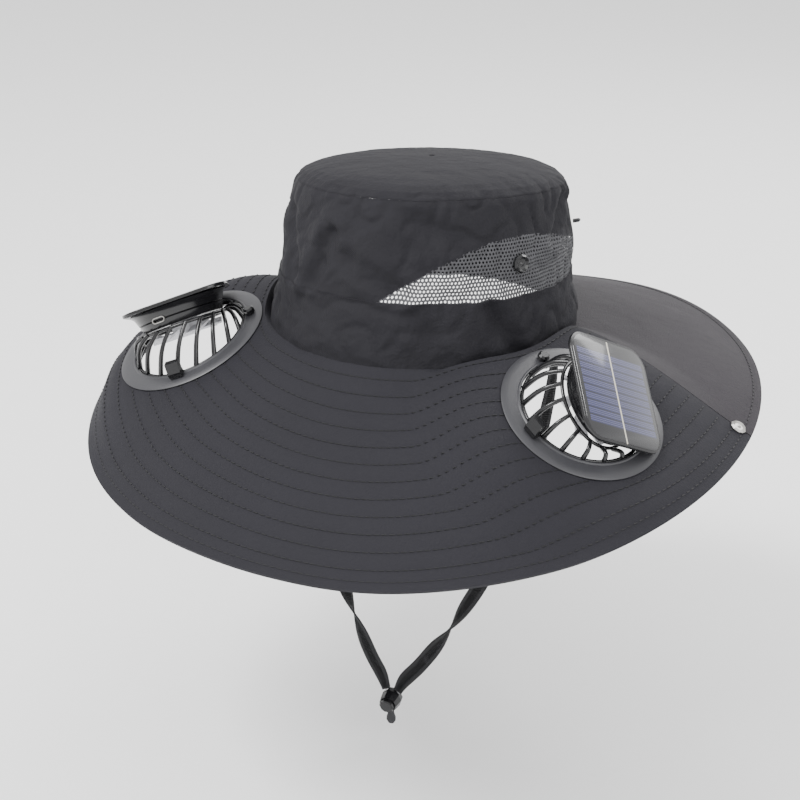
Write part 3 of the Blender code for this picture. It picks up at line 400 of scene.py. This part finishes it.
def fold_depth(azimuth, share):
    """How far the crown's cloth is drawn in by its folds and crumpled at this place."""
    depth = 0.0
    for a0, h0, a1, h1, deep, wide in FOLDS:
        run = Vector((turn_between(a1, a0), (h1 - h0) * 100.0))
        here = Vector((turn_between(azimuth, a0), (share - h0) * 100.0))
        t = min(1.0, max(0.0, here.dot(run) / run.dot(run)))
        away = (here - run * t).length / wide
        depth += deep * (math.exp(-away * away) - 0.45 * math.exp(-((away - 2.0) ** 2)))
    out = radial(azimuth) * 2.2
    rough = noise.noise(Vector((out.x * 1.6, out.y * 1.6, share * 4.0)))
    ridge = 1.0 - abs(noise.noise(Vector((out.x * 3.0, out.y * 3.0, share * 7.0 + 9.0)))) * 2.0
    fade = min(1.0, max(0.0, (share + 0.02) / 0.06), max(0.0, (1.0 - share) / 0.08))
    return (depth + rough * 0.0020 + max(0.0, ridge - 0.50) * 0.0030) * fade


def crown_at(azimuth, share):
    radius = between(CROWN_PROFILE, share)
    lean = radial(CROWN_LEAN_TO) * CROWN_LEAN * max(0.0, share)
    rise = CROWN_TILT * math.cos(math.radians(azimuth - CROWN_TILT_TO)) * max(0.0, share) * radius
    out = radial(azimuth)
    place = out * (foot_radius(azimuth) * radius - fold_depth(azimuth, share)) + lean
    return place + Vector((0, 0, share * CROWN_HEIGHT + rise))


def brim_curve(azimuth, share):
    place = (azimuth + 180.0) % 360.0 / 30.0
    row, t = int(place), place % 1.0
    values = []
    for column in (0, 1):
        a, b, c, d = (BRIM_EDGE[(row + k) % 12][column] for k in (-1, 0, 1, 2))
        slope_b, slope_c = (c - a) / 2.0, (d - b) / 2.0
        values.append((2 * t ** 3 - 3 * t ** 2 + 1) * b + (t ** 3 - 2 * t ** 2 + t) * slope_b
                      + (3 * t ** 2 - 2 * t ** 3) * c + (t ** 3 - t ** 2) * slope_c)
    inner = foot_radius(azimuth) + GAP
    drop, hold = values[0] * BRIM_DROP, values[1]
    out = radial(azimuth) * (inner + (BRIM_RADIUS - inner) * share)
    return out - Vector((0, 0, drop * (share - hold * 4 * share * (1 - share))))


# %% [markdown]
# ## Finding the fan units
# Each flange in the frame is a flat ring. The middle of its vertices' box gives its centre, and its normal is
# listed.
# The fan's spin joint gives the place and the axis of the pod above it.


# %% Fan frames
def frame_at(origin, normal, towards):
    z = normal.normalized()
    x = (towards - z * towards.dot(z)).normalized()
    y = z.cross(x)
    return Matrix(((x.x, y.x, z.x, origin.x), (x.y, y.y, z.y, origin.y),
                   (x.z, y.z, z.z, origin.z), (0, 0, 0, 1)))


FAN_AZIMUTH = {"left": -63.0, "right": 63.0}
FLANGE_NORMAL = {"left": Vector((-0.2756, -0.37028, 0.8871)), "right": Vector((0.41725, -0.28044, 0.86444))}
FLANGE, POD = {}, {}
for which, azimuth in FAN_AZIMUTH.items():
    low, high = (Vector(corner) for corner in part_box("fan_flange_" + which))
    normal = FLANGE_NORMAL[which].normalized()
    FLANGE[which] = frame_at((low + high) / 2 - normal * 0.0012, normal, radial(azimuth))
    joint = next(j for j in frame["joints"] if j["name"] == "rotor_" + which + "_spin")
    POD[which] = frame_at(Vector(joint["pos_m"]), Vector(joint["axis"]), radial(azimuth))
    print(which, "flange at", [round(v, 4) for v in FLANGE[which].translation])
INVERSES = [(place, place.inverted()) for place in FLANGE.values()]


def brim_at(azimuth, share):
    """A point on the brim's top, flat under each flange and a little wavy elsewhere."""
    place = brim_curve(azimuth, share)
    calm = 1.0
    for unit, inverse in INVERSES:
        local = inverse @ place
        away = math.hypot(local.x, local.y) - FLANGE_RADIUS - FLAT_MARGIN
        flat = min(1.0, max(0.0, 1.0 - away / FLAT_BLEND))
        flat = flat * flat * (3 - 2 * flat) * min(1.0, share * 30.0, (1.0 - share) * 12.0)
        place = place - Vector((0, 0, local.z / unit[2][2])) * flat
        calm *= 1.0 - flat
    wave = noise.noise(Vector((place.x * 11.0, place.y * 11.0, 0.0))) * 0.0016
    return place + Vector((0, 0, wave * calm * min(1.0, share * 4.0)))


# %% [markdown]
# ## A panel of cloth
# Every sewn panel starts as a flat grid. Its points are laid on the hat's form, the wall
# gets its thickness from a Solidify modifier, and the UV map keeps real lengths.


# %% Panel maker
def deselect():
    if bpy.context.object and bpy.context.object.mode != "OBJECT":
        bpy.ops.object.mode_set(mode="OBJECT")
    bpy.ops.object.select_all(action="DESELECT")


def keep(piece, name, material, nodes=(), body="hat", place=None):
    """Names a piece, gives it its material and body, and hides the nodes it stands for."""
    piece.name = piece.data.name = name
    if place is not None:
        piece.data.transform(place)
    piece.data.materials.clear()
    piece.data.materials.append(material)
    if nodes:
        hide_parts(*nodes)
    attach(piece, body)
    print(name, len(piece.data.polygons), "faces")
    return piece


def apply_modifiers(piece):
    deselect()
    bpy.context.view_layer.objects.active = piece
    piece.select_set(True)
    for modifier in list(piece.modifiers):
        bpy.ops.object.modifier_apply(modifier=modifier.name)


def panel(columns, rows, place, wall, closed):
    """A grid laid on a form by place(u, v), with u and v from 0 to 1, given a wall inwards."""
    deselect()
    bpy.ops.mesh.primitive_grid_add(x_subdivisions=columns, y_subdivisions=rows, size=1.0)
    piece = bpy.context.object
    mesh = piece.data
    spots = {}
    for vertex in mesh.vertices:
        u, v = vertex.co.x + 0.5, vertex.co.y + 0.5
        spots[vertex.index] = place(u, v)
    for vertex in mesh.vertices:
        vertex.co = spots[vertex.index][0]
    for loop in mesh.loops:
        mesh.uv_layers[0].data[loop.index].uv = spots[loop.vertex_index][1]
    if closed:
        work = bmesh.new()
        work.from_mesh(mesh)
        bmesh.ops.remove_doubles(work, verts=work.verts, dist=1e-6)
        work.to_mesh(mesh)
        work.free()
    middle = mesh.polygons[len(mesh.polygons) // 2]
    if middle.normal.dot(Vector((middle.center.x, middle.center.y, 0.12))) < 0:
        mesh.flip_normals()
    thick = piece.modifiers.new("wall", "SOLIDIFY")
    thick.thickness, thick.offset = wall, -1.0
    apply_modifiers(piece)
    mesh = piece.data
    mesh.shade_smooth()
    mesh.set_sharp_from_angle(angle=math.radians(50.0))
    return piece


# %% [markdown]
# ## The crown
# The band, the side and the top are separate panels, as they are sewn. The side's lower
# edge runs up over a leaf-shaped net window on either side.


# %% Crown panels
def window_top(azimuth):
    away = abs(turn_between(azimuth, CROWN_FRONT))
    if away <= WINDOW_EDGE[0][0] or away >= WINDOW_EDGE[-1][0]:
        return BAND_SHARE
    return BAND_SHARE + (SEAM_SHARE - BAND_SHARE) * between(WINDOW_EDGE, away)


def crown_panel(low, high, turn=360.0, start=0.0, proud=0.0):
    def place(u, v):
        azimuth = start + turn * u
        bottom, ceiling = low(azimuth), high(azimuth)
        share = bottom + (ceiling - bottom) * v
        uv = (math.radians(azimuth) * CROWN_HALF_LENGTH, share * CROWN_HEIGHT)
        return crown_at(azimuth, share) + radial(azimuth) * proud, uv
    return place


SEAM = 0.00006 / CROWN_HEIGHT
LAP, PROUD = 0.0012 / CROWN_HEIGHT, 0.0006
band = panel(240, 24, crown_panel(lambda a: -0.025, lambda a: BAND_SHARE + LAP, proud=PROUD), 0.0015, True)
keep(band, "crown_band_cloth", CLOTH, ["crown_band"])
wall = panel(288, 36, crown_panel(lambda a: window_top(a) - LAP / 2, lambda a: SEAM_SHARE - SEAM), 0.0015, True)
keep(wall, "crown_side_cloth", CLOTH, ["crown_side"])
crown_top = panel(240, 26, crown_panel(lambda a: SEAM_SHARE + SEAM, lambda a: 0.9995), 0.0015, True)
keep(crown_top, "crown_top_cloth", CLOTH, ["crown_top"])
for which, sign in (("left", -1.0), ("right", 1.0)):
    window = panel(110, 16, crown_panel(
        lambda a: BAND_SHARE - LAP, lambda a: window_top(a) + 0.002,
        sign * (WINDOW_EDGE[-1][0] - WINDOW_EDGE[0][0] - 0.4), CROWN_FRONT + sign * (WINDOW_EDGE[0][0] + 0.2),
    ), 0.0006, False)
    keep(window, "net_" + which, NET, ["net_window_" + which])

# %% [markdown]
# ## The brim
# The front is stiffened by a dozen rows of stitching, and the flap behind is plain with a
# hem. Each stitch is a short bead of thread, modelled once and set along its row.

# %% Brim panels and stitches
BRIM_WALL = 0.0022
ROWS, FIRST_ROW, LAST_ROW, HEM_ROW = 12, 0.058, 0.905, 0.955
HEM_SHARE, HEM_RISE = 0.970, 0.0007


def brim_panel(start, turn):
    def place(u, v):
        azimuth = start + turn * u
        spot = brim_at(azimuth, v)
        span = (v - FIRST_ROW) / (LAST_ROW - FIRST_ROW) * (ROWS - 1)
        if abs(azimuth) < FLAP_START:
            spot.z += 0.0004 * abs(math.sin(math.pi * span)) - 0.0002
        spot.z += HEM_RISE if v > HEM_SHARE else 0.0
        return spot, (math.radians(azimuth) * 0.15, v * 0.147)
    return place


def open_hole(piece, unit, radius):
    """Cuts the fan's round hole through the cloth."""
    deselect()
    bpy.ops.mesh.primitive_cylinder_add(vertices=64, radius=radius, depth=0.03)
    cutter = bpy.context.object
    cutter.data.transform(unit)
    hole = piece.modifiers.new("hole", "BOOLEAN")
    hole.operation, hole.solver, hole.object = "DIFFERENCE", "EXACT", cutter
    apply_modifiers(piece)
    bpy.data.objects.remove(cutter)


front = panel(200, 60, brim_panel(-FLAP_START, 2 * FLAP_START), BRIM_WALL, False)
for which in FLANGE:
    open_hole(front, FLANGE[which], 0.0385)
keep(front, "brim_cloth", BRIM_CLOTH, ["brim_front"])
flap = panel(180, 50, brim_panel(FLAP_START + 0.2, 360.0 - 2 * FLAP_START - 0.4), BRIM_WALL, False)
# The flap gets the lighter cloth, which is painted light for the lit rear of the brim.
keep(flap, "flap_cloth", FLAP_CLOTH_PAINTED_LIGHTER, ["neck_flap"])

STITCH_LENGTH, STITCH_PITCH, STITCH_WIDE = 0.0030, 0.0042, 0.0005


def stitches(name, shares, first, last):
    """Rows of thread beads on the brim, each row at its own share of the way out."""
    deselect()
    bpy.ops.mesh.primitive_cube_add(size=1.0)
    bead = bpy.context.object
    corners = [v.co.copy() for v in bead.data.vertices]
    faces = [tuple(p.vertices) for p in bead.data.polygons]
    points, quads = [], []
    for share in shares:
        radius = math.hypot(*brim_at(0.0, share)[:2])
        count = int(math.radians(last - first) * radius / STITCH_PITCH)
        for k in range(count):
            azimuth = first + (last - first) * (k + 0.5) / count
            here, there = brim_at(azimuth, share), brim_at(azimuth + 0.4, share)
            if any(math.hypot(*(inverse @ here)[:2]) < FLANGE_RADIUS for unit, inverse in INVERSES):
                continue
            lift = Vector((0, 0, 0.0001))
            bed = frame_at(here + lift, radial(azimuth) * 0.3 + Vector((0, 0, 1)), there - here)
            size = Matrix.Diagonal((STITCH_LENGTH, STITCH_WIDE, STITCH_WIDE, 1.0))
            quads += [tuple(i + len(points) for i in face) for face in faces]
            points += [bed @ size @ corner for corner in corners]
    mesh = bpy.data.meshes.new(name)
    mesh.from_pydata(points, [], quads)
    bead.data = mesh
    keep(bead, name, THREAD)


rows = [FIRST_ROW + (LAST_ROW - FIRST_ROW) * k / (ROWS - 1) for k in range(ROWS)]
stitches("brim_stitches", rows + [HEM_ROW], -FLAP_START + 1.0, FLAP_START - 1.0)
stitches("flap_stitches", [HEM_ROW], FLAP_START + 1.0, 360.0 - FLAP_START - 1.0)

# %% [markdown]
# ## Turned pieces
# A flange, a pod or a snap is a solid of revolution: a profile drawn point by point and
# spun round its axis.


# %% Turning
def turned(profile, steps=72):
    """Spins a profile of (radius, height) points round Z."""
    deselect()
    bpy.ops.mesh.primitive_plane_add(size=0.001)
    piece = bpy.context.object
    bpy.ops.object.mode_set(mode="EDIT")
    bpy.ops.mesh.merge(type="CENTER")
    bpy.ops.transform.translate(value=(profile[0][0], 0, profile[0][1]))
    for (r0, z0), (r1, z1) in zip(profile, profile[1:]):
        bpy.ops.mesh.extrude_region_move(TRANSFORM_OT_translate={"value": (r1 - r0, 0, z1 - z0)})
    bpy.ops.mesh.select_all(action="SELECT")
    bpy.ops.mesh.spin(steps=steps, angle=2 * math.pi, center=(0, 0, 0), axis=(0, 0, 1))
    bpy.ops.mesh.select_all(action="SELECT")
    bpy.ops.mesh.remove_doubles(threshold=1e-6)
    bpy.ops.mesh.normals_make_consistent(inside=False)
    bpy.ops.object.mode_set(mode="OBJECT")
    piece.data.shade_smooth()
    piece.data.set_sharp_from_angle(angle=math.radians(38.0))
    return piece


# %% [markdown]
# ## The fan units
# A matt flange clamps the cloth. A cage of swept ribs climbs from it to the foot of a
# glossy pod, which carries the solar panel and the fan wheel.

# %% Flange, pod and cage
FLANGE_PROFILE = (
    (0.0376, 0.0004), (0.0484, 0.0004), (0.0486, 0.0009), (0.0478, 0.0014), (0.0440, 0.0020),
    (0.0395, 0.0023), (0.0388, 0.0030), (0.0380, 0.0030), (0.0376, 0.0025), (0.0376, 0.0004),
)
POD_PROFILE = (
    (0.0, 0.0002), (0.0250, 0.0002), (0.0262, 0.0014), (0.0272, 0.0048), (0.0266, 0.0053),
    (0.0274, 0.0058), (0.0284, 0.0086), (0.0292, 0.0104), (0.0310, 0.0122), (0.0308, 0.0125),
    (0.0, 0.0125),
)
RING_LOW, RING_HIGH, RIBS, RIB_TWIST = 0.0362, 0.0276, 18, 16.0


def ring_profile(radius, height, half):
    return [(radius + half * math.cos(t), height + half * math.sin(t))
            for t in (2 * math.pi * k / 10 for k in range(11))]


def bearing(degrees):
    turn = math.radians(degrees)
    return Vector((math.cos(turn), math.sin(turn), 0.0))


def cage_rib(flange, pod, turn):
    """One swept rib from the flange's ring up to the pod's foot."""
    deselect()
    bpy.ops.curve.primitive_nurbs_path_add()
    rib = bpy.context.object
    rib.data.splines.clear()
    spline = rib.data.splines.new("NURBS")
    spline.points.add(4)
    foot = flange @ (bearing(turn) * RING_LOW + Vector((0, 0, 0.0014)))
    head = pod @ (bearing(turn + RIB_TWIST) * RING_HIGH + Vector((0, 0, -0.0012)))
    axis = flange.to_3x3() @ Vector((0, 0, 1))
    outward = (flange.to_3x3() @ bearing(turn + RIB_TWIST / 3)).normalized()
    for k, point in enumerate(spline.points):
        t = k / 4
        bow = math.sin(math.pi * t) * 0.0038
        spot = foot.lerp(head, t) + outward * bow * 0.5 + axis * bow * 0.9
        point.co = (*spot, 1.0)
        point.radius = 1.0 - 0.25 * t
    spline.use_endpoint_u = True
    spline.order_u = 3
    rib.data.bevel_depth = 0.0016
    rib.data.bevel_resolution = 2
    rib.data.use_fill_caps = True
    bpy.ops.object.convert(target="MESH")
    return bpy.context.object


def join(pieces):
    deselect()
    for piece in pieces:
        piece.select_set(True)
    bpy.context.view_layer.objects.active = pieces[0]
    bpy.ops.object.join()
    return bpy.context.object


for which in FLANGE:
    flange, pod = FLANGE[which], POD[which]
    keep(turned(FLANGE_PROFILE, 96), "flange_" + which, MATT, ["fan_flange_" + which],
         place=flange)
    pod_body = turned(POD_PROFILE, 96)
    keep(pod_body, "pod_" + which, GLOSS, ["fan_pod_" + which], place=pod)
    low_ring = turned(ring_profile(RING_LOW, 0.0014, 0.0011), 72)
    low_ring.data.transform(flange)
    high_ring = turned(ring_profile(RING_HIGH - 0.0008, -0.0015, 0.0011), 72)
    high_ring.data.transform(pod)
    ribs = [cage_rib(flange, pod, 360.0 * k / RIBS) for k in range(RIBS)]
    cage = join([low_ring, high_ring] + ribs)
    cage.data.shade_smooth()
    keep(cage, "cage_" + which, GLOSS, ["fan_cage_" + which])

# %% [markdown]
# ## The solar panel
# The tray is a thin square with round corners, and the cell face lies just inside its rim.


# %% Panel and its face
def rounded_plate(size, corner, low, high):
    deselect()
    bpy.ops.mesh.primitive_cube_add(size=1.0)
    plate = bpy.context.object
    for vertex in plate.data.vertices:
        vertex.co = (vertex.co.x * size, vertex.co.y * size, low if vertex.co.z < 0 else high)
    bpy.ops.object.mode_set(mode="EDIT")
    bpy.ops.mesh.select_mode(type="EDGE")
    bpy.ops.mesh.select_all(action="DESELECT")
    bpy.ops.object.mode_set(mode="OBJECT")
    for edge in plate.data.edges:
        a, b = (plate.data.vertices[i].co for i in edge.vertices)
        edge.select = abs(a.z - b.z) > (high - low) / 2
    bpy.ops.object.mode_set(mode="EDIT")
    bpy.ops.mesh.bevel(offset=corner, segments=8, clamp_overlap=False)
    bpy.ops.mesh.select_mode(type="VERT")
    bpy.ops.object.mode_set(mode="OBJECT")
    rim = plate.modifiers.new("rim", "BEVEL")
    rim.width, rim.segments, rim.limit_method = 0.0004, 2, "ANGLE"
    apply_modifiers(plate)
    plate.data.shade_smooth()
    plate.data.set_sharp_from_angle(angle=math.radians(40.0))
    return plate


PANEL_SIZE, PANEL_CORNER, PANEL_SEAT = 0.0660, 0.0125, 0.0128
for which in POD:
    pod = POD[which]
    tray = rounded_plate(PANEL_SIZE, PANEL_CORNER, PANEL_SEAT, PANEL_SEAT + 0.0020)
    keep(tray, "tray_" + which, GLOSS, ["panel_tray_" + which], place=pod)
    face = rounded_plate(PANEL_SIZE - 0.0032, PANEL_CORNER - 0.0016, PANEL_SEAT + 0.0013, PANEL_SEAT + 0.0023)
    layer = face.data.uv_layers[0] if face.data.uv_layers else face.data.uv_layers.new()
    for loop in face.data.loops:
        spot = face.data.vertices[loop.vertex_index].co
        layer.data[loop.index].uv = (spot.x, spot.y)
    keep(face, "cells_" + which, SOLAR, ["solar_cell_" + which], place=pod)

# %% [markdown]
# ## The chin strap
# Two strands of flat webbing hang from the crown, twist over once and meet in a round
# lock. The route is the one that the frame holds.

# %% Strands
STRAP_ROUTE = (
    (0.0892, -0.0030, 0.0070), (0.0893, -0.0031, -0.0010), (0.0884, -0.0034, -0.0130),
    (0.0866, -0.0042, -0.0350), (0.0830, -0.0062, -0.0600), (0.0782, -0.0090, -0.0870),
    (0.0714, -0.0125, -0.1140), (0.0626, -0.0168, -0.1410), (0.0520, -0.0215, -0.1660),
    (0.0405, -0.0262, -0.1880), (0.0290, -0.0308, -0.2080), (0.0180, -0.0350, -0.2250),
    (0.0085, -0.0378, -0.2370), (0.0041, -0.0393, -0.2457),
)
STRAP_STEPS, STRAP_WIDTH, STRAP_THICK = 96, 0.0090, 0.0012
STRAP_TWIST = {"right": (0.62, 0.84), "left": (0.60, 0.83)}


def route_at(share, sign):
    place = share * (len(STRAP_ROUTE) - 1)
    row = min(int(place), len(STRAP_ROUTE) - 2)
    t = place - row
    a, b = STRAP_ROUTE[max(row - 1, 0)], STRAP_ROUTE[row]
    c, d = STRAP_ROUTE[row + 1], STRAP_ROUTE[min(row + 2, len(STRAP_ROUTE) - 1)]
    a, b, c, d = (Vector(p) for p in (a, b, c, d))
    spot = 0.5 * ((2 * b) + (c - a) * t + (2 * a - 5 * b + 4 * c - d) * t * t
                  + (3 * b - a - 3 * c + d) * t ** 3)
    return Vector((spot.x * sign, spot.y, spot.z))


def ramp(at, first, last):
    share = min(1.0, max(0.0, (at - first) / (last - first)))
    return share * share * (3 - 2 * share)


for which, sign in (("left", -1.0), ("right", 1.0)):
    spine = [route_at(k / STRAP_STEPS, sign) for k in range(STRAP_STEPS + 1)]
    length = sum((b - a).length for a, b in zip(spine, spine[1:]))

    def strand(u, v):
        k = round(u * STRAP_STEPS)
        along = (spine[min(k + 1, STRAP_STEPS)] - spine[max(k - 1, 0)]).normalized()
        turn = 90.0 * ramp(u, 0.08, 0.50) + 180.0 * ramp(u, *STRAP_TWIST[which])
        flat = Vector((0, -1, 0))
        wide = (flat - along * flat.dot(along)).normalized()
        spread = math.cos(math.radians(turn)) * wide
        spread += math.sin(math.radians(turn)) * along.cross(wide) * sign
        half = STRAP_WIDTH / 2 * (1.0 - 0.35 * ramp(u, 0.90, 1.00))
        return spine[k] + spread * half * (2 * v - 1), (u * length, v * STRAP_WIDTH)

    tape = panel(STRAP_STEPS, 4, strand, 0.0, False)
    thick = tape.modifiers.new("wall", "SOLIDIFY")
    thick.thickness, thick.offset = STRAP_THICK, 0.0
    apply_modifiers(tape)
    keep(tape, "strand_" + which, WEBBING, ["strap_" + which])
    print("strand", which, round(length, 4), "m")
    tuple(spine[0])
    [tuple(p) for p in spine]

# %% [markdown]
# ## What the frame already shapes well
# Small hard parts keep their own meshes from the frame. Each gets its material here.

# %% Materials on the frame's own parts
FINISHES = {
    "brim_snap": STEEL, "crown_snap": GLOSS, "side_tab": WEBBING, "fan_collar": MATT,
    "charge_port": STEEL, "cage_clip": GLOSS, "pivot_boss": GLOSS, "fan_rotor": ROTOR,
    "cord_lock": GLOSS, "lock_button": GLOSS, "strap_knot": WEBBING,
}
for name, node in frame["nodes"].items():
    for start, material in FINISHES.items():
        if name.startswith(start):
            node.data.materials.clear()
            node.data.materials.append(material)
print("finished", len(FINISHES), "kinds of part")
